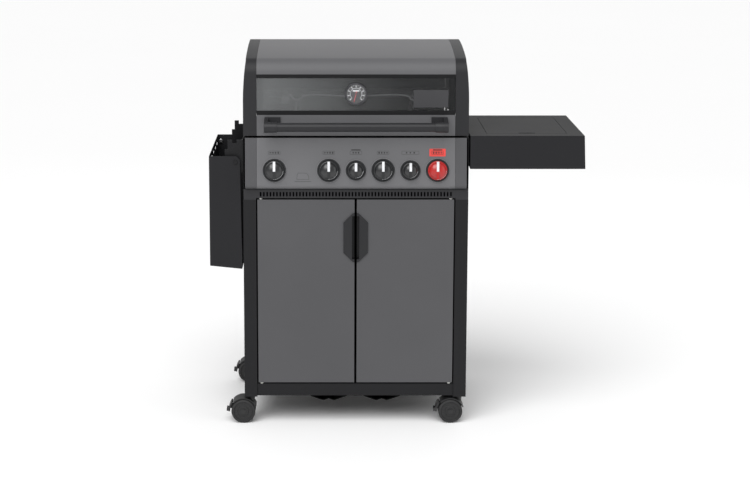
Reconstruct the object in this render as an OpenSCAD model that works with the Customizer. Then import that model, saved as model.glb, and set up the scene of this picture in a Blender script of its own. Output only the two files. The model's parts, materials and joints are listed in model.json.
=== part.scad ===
// Gas barbecue grill on a two-door cabinet cart. +Z is up, +X is the cook's right and -Y is the front.
// The origin is on the floor, under the middle of the cabinet. All sizes are in millimetres.

/* [Cabinet] */
// Half the width over the two side sheets
cab_x = 340; // [335:1:345]
// Half the depth from the post faces to the rear edge
cab_y = 250; // [248:1:254]
// Underside of the base pan above the floor
base_z = 88; // [86:0.5:89]
// Width of a front post's face
post_w = 39; // [37:1:41]
// Lower edge of the doors
door_z0 = 132; // [131:0.5:134]
// Upper edge of the doors
door_z1 = 703; // [700:0.5:703]
// Thickness of a folded door
door_t = 18; // [16:1:18]
// Half the gap between the two doors
door_gap = 3.5; // [3:0.5:5]
// Gap between a door and its post
door_side_gap = 4; // [3.5:0.5:4.5]
// Sheet thickness of the cabinet panels
sheet = 2; // [1.5:0.1:2]
// Radius of the door pins
door_pin_r = 4; // [3:0.5:4]

/* [Front panel] */
// Lean of the control panel, in degrees
panel_lean = 6; // [5:0.5:6]
// Height of the panel's upper edge
panel_z = 892; // [892:0.5:893]
// Front of the panel's upper edge
panel_y = -252; // [-254:0.5:-252]
// Height of the panel along its face
panel_h = 154; // [153:0.5:154]
// Distance from the upper edge down to the knob axes
knob_drop = 97.5; // [94:0.5:99]
// Radius of a burner knob
knob_r = 29; // [27:0.5:29]
// Radius of a side knob
small_knob_r = 24.5; // [22:0.5:25]
// Radius of a valve stem
stem_r = 4; // [3:0.5:4]
// How far a knob pushes in
knob_push = 3; // [2:0.5:3]

/* [Hood] */
// Lower edge of the hood
hood_z = 898; // [897:0.5:899]
// Highest point of the hood
hood_top = 1154; // [1150:1:1160]
// Half the width of the hood at its lower edge
hood_x0 = 338.5; // [336:0.5:339]
// Half the width of the hood at its top
hood_x1 = 330; // [328:1:332]
// Width of an end cap
cap_w = 40.5; // [38:0.5:42]
// Rear face of the hood
hood_rear = 240; // [239:0.5:241]
// Radius of the hood's front edge
hood_front_r = 45; // [40:1:50]
// Radius of the hood's crown
hood_crown_r = 1900; // [1700:50:2100]
// Radius of the hood's rear edge
hood_rear_r = 145; // [135:1:150]
// Lower edge of the glass
glass_z0 = 974; // [972:1:976]
// Upper edge of the glass
glass_z1 = 1072; // [1070:1:1074]
// Depth of the hood's hinge axis
hinge_y = 238; // [237.5:0.5:238]
// Height of the hood's hinge axis
hinge_z = 903; // [903:0.5:904]
// Radius of the hood's handle bar
bar_r = 13.5; // [12:0.5:14]
// Height of the handle bar
bar_z = 931; // [930:1:933]
// Distance of the handle bar in front of the hood
bar_out = 50; // [48:1:52]

/* [Firebox] */
// Half the width of the firebox
box_x = 325; // [322:1:326]
// Front face of the firebox
box_y0 = -195; // [-196:0.5:-194]
// Rear face of the firebox
box_y1 = 222; // [221:0.5:222]
// Underside of the firebox
box_z = 740; // [740:1:742]
// Height of the burner tubes
burner_z = 789; // [788:0.5:790]
// Outer radius of a burner tube
burner_r = 16; // [14:0.5:17]

/* [Tables] */
// Outer end of the side table
table_x = 687; // [680:1:690]
// Work surface of the side table
table_z = 898; // [898:0.5:899]
// Front edge of the table and the shelf
table_y0 = -250; // [-252:0.5:-250]
// Rear edge of the table and the shelf
table_y1 = 190; // [190:0.5:192]
// Depth of a table's apron
apron = 101; // [98:1:102]
// Folding axis of the shelf, across the cabinet
shelf_px = -362; // [-363:0.5:-361]
// Height of the shelf's folding axis
shelf_pz = 818; // [817:0.5:819]

/* [Casters] */
// Radius of a wheel
wheel_r = 37.5; // [36:0.5:37.5]
// Swivel axes of the casters from the middle, sideways
caster_x = 319.4; // [315:0.2:320]
// Swivel axes of the casters from the middle, front to rear
caster_y = 220; // [215:1:222]
// Trail from the swivel axis to the axle
trail = 25.7; // [24:0.1:27]

/* [Hidden] */
$fn = 64;

run_gap = 0.05;
thin = 1.5;
post_in = cab_x - post_w;
door_x1 = post_in - door_side_gap;
sheet_x = post_in - 3;
pin_x = 287;
hinge_x = 294;
hinge_r = 4;
pin_y = -cab_y + door_t / 2;
knob_x = [-245, -81.5, 0, 81.5, 163.5, 245];
knob_big = [true, true, false, true, false, true];
main_x = [-245, -81.5, 81.5];
turbo_x = 245;
strip_z0 = 708;
strip_z1 = 735;
side_top = box_z + 150;
rail_half = 272;
rail_back = 36;
rail_drop = knob_drop + 20;
inlet_x = 318;
inlet_r = 6.58;
inlet_out = 15;
riser_y = -210;
run_z = 725;
plate_z0 = 784;
plate_z1 = 884;
shelf_z0 = 499;
shelf_top = 836;
stop_r = 8;
grip_z0 = 511;
grip_z1 = 662;
wheel_z = wheel_r;
steel = [0.34, 0.34, 0.35];
panel_grey = [0.44, 0.44, 0.45];
dark = [0.17, 0.17, 0.18];
black = [0.06, 0.06, 0.06];
bright = [0.75, 0.75, 0.76];

// ---------------------------------------------------------------- helpers

// A box between two opposite corners.
module block(lo, hi) {
    translate(lo) cube(hi - lo);
}

// A flat outline in Y and Z, extruded between two values of X.
module along_x(x0, x1) {
    translate([x0, 0, 0]) rotate([90, 0, 90]) linear_extrude(x1 - x0) children();
}

// A flat outline in X and Z, extruded between two values of Y.
module along_y(y0, y1) {
    translate([0, y1, 0]) rotate([90, 0, 0]) linear_extrude(y1 - y0) children();
}

// Round bars along each axis, from a point towards the positive side.
module rod_x(p, r, len) {
    translate(p) rotate([0, 90, 0]) cylinder(h = len, r = r);
}

module rod_y(p, r, len) {
    translate(p) rotate([-90, 0, 0]) cylinder(h = len, r = r);
}

module rod_z(p, r, len) {
    translate(p) cylinder(h = len, r = r);
}

// A slot with round ends, long in X, in the XY plane.
module slot_2d(len, wide) {
    square([len - wide, wide], center = true);
    for (s = [-1, 1]) translate([s * (len - wide) / 2, 0]) circle(d = wide, $fn = 24);
}

// Children and their mirror image across the cabinet's middle.
module both_sides() {
    children();
    mirror([1, 0, 0]) children();
}

// The control panel's own frame: the face is the plane y = 0 and z runs down from the upper edge.
module panel_frame() {
    translate([0, panel_y, panel_z]) rotate([-panel_lean, 0, 0]) children();
}

// The frame of knob i, with +Z pointing out of the panel's face.
module knob_frame(i) {
    panel_frame() translate([knob_x[i], 0, -knob_drop]) rotate([90, 0, 0]) children();
}

// Points on an arc about c, from angle a0 to a1.
function arc(c, r, a0, a1, n) =
    [for (i = [0:n]) let (a = a0 + (a1 - a0) * i / n) c + r * [cos(a), sin(a)]];

// ---------------------------------------------------------------- cabinet

module base_pan() {
    color(dark) {
        block([-cab_x + sheet, -cab_y + 25, base_z], [cab_x - sheet, cab_y - 4, base_z + sheet]);
        block([-cab_x + sheet, -cab_y + 25, base_z], [cab_x - sheet, -cab_y + 27, base_z + 32]);
        block([-cab_x + sheet, cab_y - 6, base_z], [cab_x - sheet, cab_y - 4, base_z + 32]);
        both_sides() block([cab_x - 2 * sheet, -cab_y + 25, base_z], [cab_x - sheet, cab_y - 4, base_z + 32]);
    }
}

// A folded rail across the front, below the doors.
module front_rail() {
    color(dark)
        along_x(-post_in, post_in)
            translate([-cab_y + 4, base_z + 1]) {
                square([thin, 38]);
                square([20, thin]);
                translate([0, 38 - thin]) square([20, thin]);
            }
}

module side_panel() {
    difference() {
        block([cab_x - sheet, -cab_y, base_z - 2], [cab_x, cab_y, side_top]);
        block([cab_x - sheet - 1, -cab_y - 1, door_z1], [cab_x + 1, -cab_y + 4, side_top + 1]);
    }
    block([post_in, -cab_y, base_z - 2], [cab_x - sheet, -cab_y + sheet, door_z1]);
    block([post_in, -cab_y + sheet, base_z - 2], [post_in + thin, -cab_y + 24, door_z1]);
    block([cab_x - post_w, cab_y - sheet, base_z - 2], [cab_x - sheet, cab_y, side_top - 10]);
}

// The right-hand panel lets the gas inlet out at the rear.
module side_panel_right() {
    color(dark)
        difference() {
            side_panel();
            rod_y([inlet_x, cab_y - sheet - 1, run_z], inlet_r + 3, sheet + 2);
        }
}

module side_panel_left() {
    color(dark) mirror([1, 0, 0]) side_panel();
}

// Rear sheet with two rows of vents, none of them in line with the gap between the doors.
module rear_panel() {
    rows = [190, 580];
    pitch = 66;
    top = 695;
    color(dark)
        difference() {
            block([-cab_x + sheet, cab_y - 4, base_z + 2], [cab_x - sheet, cab_y - 2, top]);
            for (z = rows, i = [-4:3])
                translate([(i + 0.5) * pitch, cab_y, z]) rotate([90, 0, 0])
                    linear_extrude(10) slot_2d(44, 9);
        }
}

// Two rails of W section that stiffen the base pan from below.
module base_rails() {
    low = [[-62, base_z - thin], [-53.5, 80], [-16, 67], [0, 73], [16, 67], [53.5, 80],
        [62, base_z - thin]];
    high = [for (i = [len(low) - 1:-1:0]) low[i] + [0, thin]];
    color(dark)
        for (x = [-82, 82])
            translate([x, 0, 0]) along_y(-cab_y + 25, cab_y - 30) polygon(concat(low, high));
}

// Every pin that a moving part turns on: caster stems, door pins, hood, lid and shelf bolts.
module pivot_pins() {
    color(bright) {
        for (x = [-caster_x, caster_x], y = [-caster_y, caster_y]) {
            rod_z([x, y, 52], 5.5, base_z - 52);
            rod_z([x, y, base_z - 3], 14, 3);
        }
        both_sides() {
            rod_z([pin_x, pin_y, base_z + 39], door_pin_r, door_z0 + 5 - base_z - 39);
            rod_z([pin_x, pin_y, door_z1 - 5], door_pin_r, strip_z0 - door_z1 + 5);
            rod_x([hinge_x, hinge_y, hinge_z], hinge_r, 10);
            rod_x([hinge_x + 9.8, hinge_y, hinge_z], hinge_r + 3, 2.7);
        }
        rod_x([lid_x0 - 1, lid_py, lid_pz], 2.5, 12);
        rod_x([lid_x1 - 11, lid_py, lid_pz], 2.5, 12);
        rod_y([shelf_px, table_y0 - 1, shelf_pz], 5, 14.5);
        rod_y([shelf_px, table_y0 - 4, shelf_pz], 6, 3.6);
        rod_y([shelf_px, table_y1 - 13.5, shelf_pz], 5, 14.5);
        rod_y([shelf_px, table_y1 + 0.4, shelf_pz], 9, 4.6);
    }
}

// Screw heads on the outside of the fixed sheets.
module screws() {
    color(bright) {
        for (x = [-320, 320], z = [120, 370, 620]) rod_y([x, cab_y, z], 5, 2.5);
        both_sides() for (y = [-200, 0, 200], z = [110, 690]) rod_x([cab_x, y, z], 5, 2.5);
        both_sides() for (y = [-190, 205]) rod_x([cab_x, y, 870], 5, 2.5);
    }
}

// ---------------------------------------------------------------- firebox and burners

module firebox() {
    wall = 2;
    ledge = 10;
    color(black) {
        difference() {
            block([-box_x, box_y0, box_z], [box_x, box_y1, panel_z]);
            block([-box_x + wall, box_y0 + wall, box_z + wall], [box_x - wall, box_y1 - wall, panel_z + 1]);
            block([-90, -40, box_z - 1], [90, 60, box_z + wall + 1]);
            for (x = concat(main_x, [turbo_x])) rod_y([x, box_y0 - 1, burner_z], 11, wall + 2);
        }
        difference() {
            block([-cab_x + 3, -cab_y + 4, panel_z - 2], [cab_x - 3, box_y1 + 2, panel_z]);
            block([-box_x + wall, box_y0 + wall, panel_z - 3], [box_x - wall, box_y1 - wall, panel_z + 1]);
        }
        for (z = [box_z + 73, box_z + 128]) {
            block([-box_x + wall, box_y0 + wall, z], [box_x - wall, box_y0 + ledge, z + 2]);
            block([-box_x + wall, box_y1 - ledge, z], [box_x - wall, box_y1 - wall, z + 2]);
        }
        both_sides() {
            block([190.5, box_y1 - wall, panel_z - 1], [hinge_x, box_y1, panel_z + 40]);
            block([296, box_y0, box_z - 43], [298, box_y1, box_z]);
            block([284, box_y0, box_z - 43], [298, box_y1, box_z - 41]);
            rod_x([hinge_x - 6, hinge_y, hinge_z], 12, 6);
            block([hinge_x - 6, box_y1, panel_z - 40], [hinge_x, hinge_y + 8, hinge_z]);
        }
    }
}

module burner_tube(x) {
    difference() {
        union() {
            rod_y([x, box_y0 - 12, burner_z], 10.5, 40);
            rod_y([x, box_y0 + 18, burner_z], burner_r, box_y1 - box_y0 - 34);
        }
        rod_y([x, box_y0 - 13, burner_z], 8.5, 60);
        rod_y([x, box_y0 + 20, burner_z], burner_r - thin, box_y1 - box_y0 - 38);
        for (i = [0:9]) block([x - burner_r, box_y0 + 60 + i * 32, burner_z + 6],
            [x + burner_r, box_y0 + 64 + i * 32, burner_z + 9]);
    }
}

module main_burners() {
    color(bright) for (x = main_x) burner_tube(x);
}

// A wide burner with a raised radiating plate, for searing.
module turbo_burner() {
    color(bright) {
        difference() {
            union() {
                rod_y([turbo_x, box_y0 - 12, burner_z], 10.5, 40);
                block([turbo_x - 42, box_y0 + 22, burner_z - 16], [turbo_x + 42, box_y1 - 22, burner_z + 14]);
            }
            rod_y([turbo_x, box_y0 - 13, burner_z], 8.5, 60);
            block([turbo_x - 40, box_y0 + 24, burner_z - 14], [turbo_x + 40, box_y1 - 24, burner_z + 12]);
            for (i = [0:14]) block([turbo_x - 34, box_y0 + 36 + i * 24, burner_z + 11],
                [turbo_x + 34, box_y0 + 41 + i * 24, burner_z + 15]);
        }
    }
}

// Folded sheets that stand over the burners and keep fat off them.
module flame_tamers() {
    half = 56;
    rise = 26;
    foot_z = box_z + 75;
    color(steel)
        for (x = concat(main_x, [turbo_x]))
            translate([x, 0, foot_z]) along_y(box_y0 + 3, box_y1 - 3)
                polygon([[-half, 0], [-half + 3, 0], [0, rise - 2], [half - 3, 0], [half, 0], [0, rise]]);
}

// Two cast grates side by side on the upper ledges.
module cooking_grates() {
    thick = 12;
    grate_x = 320;
    bars = 16;
    pitch = (grate_x - 10) / bars;
    color(black)
        translate([0, 0, box_z + 130])
            for (side = [-1, 1])
                linear_extrude(thick)
                    difference() {
                        translate([side > 0 ? 1 : -grate_x - 1, box_y0 + 4])
                            square([grate_x, box_y1 - box_y0 - 8]);
                        for (i = [0:bars - 1], y = [box_y0 + 14, 20])
                            translate([side * (10 + i * pitch) + (side > 0 ? 0 : -pitch + 8), y])
                                square([pitch - 8, 187]);
                    }
}

// A radiant burner along the rear, for the spit.
module back_burner() {
    color(steel)
        difference() {
            block([-190, box_y1 - 24, panel_z], [190, box_y1 + 1, panel_z + 82]);
            block([-178, box_y1 - 25, panel_z + 12], [178, box_y1 - 14, panel_z + 70]);
        }
}

// A wire rack over the grates, carried by a leg at each corner.
module warming_rack() {
    rack_z = 1004;
    rack_x = 290;
    y0 = -150;
    y1 = 30;
    leg_x = 329;
    wire = 2.5;
    color(bright) {
        for (i = [1:8]) rod_x([-rack_x + 1, y0 + i * (y1 - y0) / 9, rack_z], wire - 0.5, 2 * rack_x - 2);
        for (y = [y0, y1]) rod_x([-leg_x, y, rack_z], wire, 2 * leg_x);
        both_sides() {
            rod_y([rack_x, y0 + 1, rack_z], wire + 0.5, y1 - y0 - 2);
            for (y = [y0, y1]) {
                rod_z([leg_x, y, panel_z], wire, rack_z - panel_z);
                translate([leg_x, y, rack_z]) sphere(r = wire + 1, $fn = 32);
            }
        }
    }
}

// ---------------------------------------------------------------- front panel and gas train

panel_back = 30;
panel_round = 14;

// Section of the folded panel in its own frame, as a closed outline.
module panel_section() {
    polygon(concat([[panel_back, 0], [0, 0]],
        arc([panel_round, -panel_h + panel_round], panel_round, 180, 270, 10),
        [[panel_back, -panel_h]]));
}

// The same section as sheet metal, open at the rear and with a short upper flange.
module panel_sheet() {
    difference() {
        panel_section();
        offset(delta = -thin) panel_section();
        translate([panel_back - 2 * thin, -panel_h + thin]) square([3 * thin, panel_h]);
        translate([6, -2 * thin]) square([panel_back, 4 * thin]);
    }
}

module control_panel() {
    color(panel_grey)
        difference() {
            panel_frame() along_x(-sheet_x, sheet_x) panel_sheet();
            for (i = [0:5]) knob_frame(i) translate([0, 0, -3]) cylinder(h = 6, r = stem_r + 2);
        }
}

module panel_ends() {
    color(panel_grey)
        both_sides() panel_frame() {
            along_x(sheet_x + 0.3, 333) panel_sheet();
            along_x(331, 333)
                difference() {
                    panel_section();
                    translate([6, -2 * thin]) square([panel_back, 4 * thin]);
                }
        }
}

// Slotted strip between the panel and the doors, with a block at each end.
module vent_strip() {
    pitch = 9.9;
    slot_z = strip_z0 + 12;
    color(black) {
        difference() {
            along_x(-post_in, post_in)
                translate([-cab_y, strip_z0]) {
                    square([thin, strip_z1 - strip_z0]);
                    square([22, thin]);
                    translate([0, strip_z1 - strip_z0 - thin]) square([22, thin]);
                }
            for (i = [-29:29])
                translate([i * pitch, -cab_y + 5, slot_z])
                    rotate([90, 0, 0]) rotate([0, 0, 90]) linear_extrude(10) slot_2d(14.5, 5);
        }
        both_sides() block([post_in, -cab_y, door_z1], [cab_x - sheet, -cab_y + 24, strip_z1]);
    }
}

function bezel_r(i) = (knob_big[i] ? knob_r : small_knob_r) + 6.5;

module knob_bezels() {
    color(black)
        for (i = [0:5])
            knob_frame(i)
                difference() {
                    union() {
                        cylinder(h = 3, r = bezel_r(i));
                        translate([0, 0, 3]) cylinder(h = 3, r1 = bezel_r(i), r2 = bezel_r(i) - 2.5);
                    }
                    translate([0, 0, 3]) cylinder(h = 4, r = bezel_r(i) - 5);
                    translate([0, 0, -1]) cylinder(h = 8, r = stem_r + 2);
                }
}

// Gas rail with a valve behind each knob. Its right end turns back, drops in front of the firebox
// and runs under it to a threaded inlet stub at the rear.
module gas_manifold() {
    pipe_r = 8;
    elbow_r = 9.2;
    rail_y = panel_y + rail_back * cos(panel_lean) - rail_drop * sin(panel_lean);
    rail_z = panel_z - rail_back * sin(panel_lean) - rail_drop * cos(panel_lean);
    color(bright) {
        panel_frame() rod_x([-rail_half, rail_back, -rail_drop], pipe_r, rail_half + inlet_x);
        rod_y([inlet_x, rail_y, rail_z], pipe_r - 0.7, riser_y - rail_y);
        rod_z([inlet_x, riser_y, run_z], pipe_r - 0.4, rail_z - run_z);
        rod_y([inlet_x, riser_y, run_z], pipe_r - 0.2, cab_y + 1 - riser_y);
        rod_y([inlet_x, cab_y - 20, run_z], inlet_r, 20 + inlet_out);
        translate([inlet_x, rail_y, rail_z]) sphere(r = elbow_r);
        translate([inlet_x, riser_y, rail_z]) sphere(r = elbow_r - 0.6);
        translate([inlet_x, riser_y, run_z]) sphere(r = elbow_r + 0.5);
        panel_frame()
            for (i = [0:5])
                translate([knob_x[i], 0, -knob_drop])
                    difference() {
                        union() {
                            block([-12, 22, -22], [12, 46, 12]);
                            rod_y([0, 45, 0], 4, 20);
                        }
                        rod_y([0, 21, 0], stem_r + run_gap, 19);
                    }
    }
}

// A valve stem runs from its valve through the panel into the knob.
module valve_stem(i) {
    color(bright) knob_frame(i) translate([0, 0, -39]) cylinder(h = 55, r = stem_r);
}

// A domed knob with a grip bar, bored for its stem.
module knob(i) {
    r = knob_big[i] ? knob_r : small_knob_r;
    base = 4 + knob_push;
    dome = [for (a = [0:9:90]) [(r - 1) * cos(a), 9 + 10 * sin(a)]];
    color(i == 5 ? [0.75, 0.12, 0.12] : black)
        knob_frame(i)
            difference() {
                union() {
                    translate([0, 0, base]) rotate_extrude($fn = 96)
                        polygon(concat([[0, 0], [r, 0], [r, 7]], dome));
                    block([-3.5, -r * 0.3, base + 8], [3.5, r * 0.96, base + 22]);
                }
                translate([0, 0, base - 1]) cylinder(h = 15, r = stem_r + run_gap);
            }
}

// ---------------------------------------------------------------- hood

// Side section of the hood in Y and Z: upright front, crowned top, rounded rear.
crown_c = [hood_rear - hood_rear_r, hood_top - hood_crown_r];
front_cy = -cab_y + hood_front_r;
crown_dip = asin((crown_c[0] - front_cy) / (hood_crown_r - hood_front_r));
front_cz = crown_c[1] + (hood_crown_r - hood_front_r) * cos(crown_dip);

module hood_section() {
    polygon(concat([[hood_rear, hood_z], [-cab_y, hood_z]],
        arc([front_cy, front_cz], hood_front_r, 180, 90 + crown_dip, 14),
        arc(crown_c, hood_crown_r, 90 + crown_dip, 90, 8),
        arc([crown_c[0], hood_top - hood_rear_r], hood_rear_r, 90, 0, 16)));
}

// Front outline of the right half of the hood in X and Z.
module hood_front() {
    mid_z = 1055;
    bulge = hood_x0 - hood_x1;
    polygon(concat([[0, hood_z], [hood_x0, hood_z]],
        [for (t = [0:0.1:1]) [hood_x0 - bulge * t * t, 990 + t * (mid_z + 65 - 990)]],
        [[hood_x1, hood_top + 1], [0, hood_top + 1]]));
}

// Solid shape of the right half of the hood, shrunk by d on every side but the open bottom.
module hood_form(d, x0) {
    intersection() {
        along_x(x0, cab_x) offset(delta = -d) hood_section();
        along_y(-cab_y - 1, hood_rear + 1) offset(delta = -d) hood_front();
    }
}

module hood_end() {
    wall = 2.5;
    difference() {
        union() {
            hood_form(0, hood_x0 - cap_w);
            rod_x([hood_x0 - cap_w + 0.5, hinge_y, hinge_z], 12, 5);
        }
        difference() {
            union() {
                hood_form(wall, hood_x0 - cap_w - 1);
                block([hood_x0 - cap_w - 1, -cab_y + wall, hood_z - 1],
                    [hood_x0 - wall, hood_rear - wall, hood_z + 10]);
            }
            rod_x([hood_x0 - cap_w + 0.5, hinge_y, hinge_z], 12, 5);
        }
        rod_x([hood_x0 - cap_w - 1, hinge_y, hinge_z], hinge_r + run_gap, 10);
        rod_x([hood_x0 - cap_w + 5.5, hinge_y, hinge_z], 9, 12);
    }
}

module hood_end_right() {
    color(dark) hood_end();
}

module hood_end_left() {
    color(dark) mirror([1, 0, 0]) hood_end();
}

// The two outer sheets, below and above the window.
module hood_shell() {
    x = hood_x0 - cap_w - 0.3;
    frame_z0 = glass_z0 - 13;
    frame_z1 = glass_z1 + 11;
    color(steel)
        difference() {
            along_x(-x, x) difference() {
                hood_section();
                offset(delta = -thin) hood_section();
            }
            block([-x - 1, -cab_y - 1, frame_z0], [x + 1, -cab_y + 10, frame_z1]);
            block([-x - 1, -cab_y + 10, hood_z - 1], [x + 1, hood_rear + 1, hood_z + 27]);
            block([-x - 1, -cab_y + thin, hood_z - 1], [x + 1, 0, hood_z + 3]);
        }
}

// Black frame behind the sheets that carries the glass.
module hood_frame() {
    x = hood_x0 - cap_w - 0.3;
    y = -cab_y;
    color(black) {
        block([-x, y + 0.5, glass_z0 - 13], [x, y + 9, glass_z0]);
        block([-x, y + 0.5, glass_z1], [x, y + 9, glass_z1 + 11]);
        block([-x, y + thin, glass_z0 - 38], [x, y + 3, glass_z0 - 13]);
        both_sides() block([x - 20, y + 7, glass_z0], [x, y + 9, glass_z1]);
    }
}

dial_z = 1025;

module hood_glass() {
    x = hood_x0 - cap_w - 0.3;
    color([0.2, 0.22, 0.23, 0.5])
        difference() {
            block([-x, -cab_y + 2, glass_z0], [x, -cab_y + 7, glass_z1]);
            rod_y([0, -cab_y, dial_z], 8.2, 10);
        }
}

// Handle bar with a collar, an arm and a foot at each end.
module hood_handle() {
    y = -cab_y - bar_out;
    color(dark) {
        rod_x([-240, y, bar_z], bar_r, 480);
        both_sides() {
            rod_x([236, y, bar_z], bar_r + 2.5, 26);
            along_x(262, 274)
                difference() {
                    union() {
                        translate([y, bar_z]) circle(r = bar_r + 3);
                        polygon([[y, bar_z + 15], [-cab_y, bar_z + 24], [-cab_y, bar_z + 4],
                            [y, bar_z - 15]]);
                    }
                    translate([-cab_y, bar_z - 40]) square([20, 80]);
                }
            block([226, -cab_y - 5, bar_z + 4], [274, -cab_y, bar_z + 24]);
        }
    }
}

// Thermometer case, dial and threaded stem with its nut behind the glass.
module thermometer() {
    y = -cab_y + 2;
    color(bright)
        difference() {
            union() {
                rod_y([0, y - 10, dial_z], 33.5, 10);
                rod_y([0, y - 1, dial_z], 8, 24);
                rod_y([0, y + 5, dial_z], 13, 6);
            }
            rod_y([0, y - 11, dial_z], 29, 7);
        }
    color(bright) rod_y([0, y - 7.5, dial_z], 1, 4);
}

module thermometer_needle() {
    y = -cab_y - 4.8;
    color("crimson")
        difference() {
            translate([0, 0, dial_z]) rotate([0, 195, 0]) union() {
                rod_y([0, y, 0], 3.2, 1.6);
                block([-0.9, y, 0], [0.9, y + 1, 24]);
                block([-1.2, y, -8], [1.2, y + 1, 0]);
            }
            rod_y([0, y - 1, dial_z], 1 + run_gap, 5);
        }
}

// ---------------------------------------------------------------- doors

// Half of the hexagonal grip outline, in X and Z.
module grip_outline(z0, z1) {
    polygon([[0, z0], [8, z0], [37, z0 + 29], [37, z1 - 29], [8, z1], [0, z1]]);
}

// Right-hand door: a folded skin, a rear lining and a moulded grip let into the free edge.
module door() {
    skin = 1.2;
    y = -cab_y;
    difference() {
        union() {
            difference() {
                block([door_gap, y, door_z0], [door_x1, y + door_t, door_z1]);
                block([door_gap + skin, y + skin, door_z0 + skin],
                    [door_x1 - skin, y + door_t - skin, door_z1 - skin]);
                block([door_gap + 24, y + door_t - skin - 1, door_z0 + 24],
                    [door_x1 - 24, y + door_t + 1, door_z1 - 24]);
            }
            for (z = [door_z0, door_z1 - 8]) block([pin_x - 9, y, z], [pin_x + 9, y + door_t, z + 8]);
            along_y(y - 4, y + door_t - 1) grip_cut(grip_z0, grip_z1);
        }
        along_y(y - 5, y + 12) intersection() {
            offset(delta = -8) grip_outline(grip_z0, grip_z1);
            square([11, 1000]);
        }
        block([door_gap - 1, y - 5, grip_z0 + 9], [11, y + 12, grip_z1 - 9]);
        rod_z([pin_x, pin_y, door_z0 - 1], door_pin_r + run_gap, 7);
        rod_z([pin_x, pin_y, door_z1 - 6], door_pin_r + run_gap, 7);
    }
}

// The grip outline without the strip that lies over the gap between the doors.
module grip_cut(z0, z1) {
    intersection() {
        grip_outline(z0, z1);
        translate([door_gap, 0]) square([100, 1000]);
    }
}

module door_right() {
    color(steel) door();
}

module door_left() {
    color(steel) mirror([1, 0, 0]) door();
}

// ---------------------------------------------------------------- side table

lid_x0 = 396.5;
lid_x1 = 638.7;
lid_y0 = -200;
lid_y1 = 132;
lid_py = 125;
lid_pz = 892;
well_z = 846;
well_top = 882;
lid_z0 = 886;
notch_deep = 11;
notch_wide = 53;

// Outline of the table in X and Z: the outer end flares a little towards the bottom.
module table_outline() {
    polygon([[344, table_z - apron], [table_x + 4, table_z - apron], [table_x, table_z], [344, table_z]]);
}

module side_table() {
    color(dark)
        difference() {
            union() {
                difference() {
                    along_y(table_y0, table_y1) table_outline();
                    along_y(table_y0 + thin, table_y1 - thin) {
                        offset(delta = -thin) table_outline();
                        translate([350, table_z - apron - 1]) square([table_x - 352, 10]);
                    }
                }
                block([lid_x0 - 9, lid_y0 - 8, well_z], [lid_x1 + 9, lid_y1 + 10, well_top]);
                for (x = [lid_x0 - 5, lid_x1 + 1])
                    block([x, lid_py - 6, well_top - 2], [x + 4, lid_py + 6, table_z - 1]);
            }
            block([lid_x0 - 1, lid_y0 - 1, well_top], [lid_x1 + 1, lid_y1 + 3, table_z + 1]);
            block([lid_x0 + 6, lid_y0 + 10, well_z + thin], [lid_x1 - 6, lid_y1 - 20, well_top + 1]);
        }
}

// Burner head with its cap and a four-armed pan support.
module side_burner() {
    x = (lid_x0 + lid_x1) / 2;
    y = -35;
    z = well_z + thin;
    color(bright) {
        rod_z([x, y, z], 46, 14);
        rod_z([x, y, z + 14], 34, 5);
    }
    color(black) {
        difference() {
            rod_z([x, y, z + 20], 92, 5);
            rod_z([x, y, z + 19], 85, 7);
        }
        for (a = [45:90:315])
            translate([x, y, 0]) rotate([0, 0, a]) block([26, -3, z + 24], [110, 3, z + 33]);
        for (a = [45:90:315])
            translate([x, y, 0]) rotate([0, 0, a]) block([90, -3, z], [96, 3, z + 24]);
    }
}

module burner_lid() {
    skin = 1.5;
    z0 = lid_z0;
    color(dark)
        difference() {
            union() {
                difference() {
                    block([lid_x0, lid_y0, z0], [lid_x1, lid_y1, table_z]);
                    block([lid_x0 + skin, lid_y0 + skin, z0 - 1],
                        [lid_x1 - skin, lid_y1 - skin, table_z - skin]);
                }
                for (x = [lid_x0, lid_x1 - 14]) block([x, lid_py - 7, z0], [x + 14, lid_y1, table_z]);
                notch_block(skin, lid_z0, table_z);
            }
            notch_block(0, lid_z0 - 1, table_z + 1);
            rod_x([lid_x0 - 1, lid_py, lid_pz], 2.5 + run_gap, 13);
            rod_x([lid_x1 - 12, lid_py, lid_pz], 2.5 + run_gap, 13);
        }
}

// Finger notch in the middle of the lid's front edge, made larger all round by a wall's thickness.
module notch_block(wall, z0, z1) {
    translate([(lid_x0 + lid_x1) / 2, lid_y0 - 1, z0])
        linear_extrude(z1 - z0)
            intersection() {
                slot_2d(notch_wide + 2 * wall, 2 * (notch_deep + wall));
                translate([-notch_wide, 1]) square([2 * notch_wide, 2 * notch_deep]);
            }
}

// Notched plates that carry the folding shelf, and two pads for the side table.
module table_brackets() {
    plate = 3;
    inset = 13.5;
    left = [[-cab_x - plate, plate_z0], [-cab_x - plate, plate_z1], [-359, plate_z1], [-359, plate_z1 - 11],
        [-372, plate_z1 - 11], [-372, plate_z1], [-386, plate_z1], [-386, plate_z1 - 29],
        [-395, plate_z1 - 29], [-395, plate_z0 + 22], [-380, plate_z0]];
    color(dark) {
        for (y = [table_y0 + inset, table_y1 - inset - plate]) along_y(y, y + plate) polygon(left);
        block([-cab_x - plate, table_y0 + inset, plate_z0], [-cab_x, table_y0 + 46, plate_z1]);
        block([-cab_x - plate, table_y1 - 46, plate_z0], [-cab_x, table_y1 - inset, plate_z1]);
        for (y = [-160, 90]) block([cab_x, y, 812], [344, y + 44, 886]);
    }
}

// ---------------------------------------------------------------- folding shelf

// End view of the shelf, folded down, in X and Z.
module shelf_outline() {
    polygon([[shelf_px - 80, shelf_z0], [shelf_px - 80, shelf_top], [shelf_px + 2, shelf_top],
        [shelf_px + 13, shelf_top - 11], [shelf_px + 18, shelf_z0 - 10]]);
}

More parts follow.
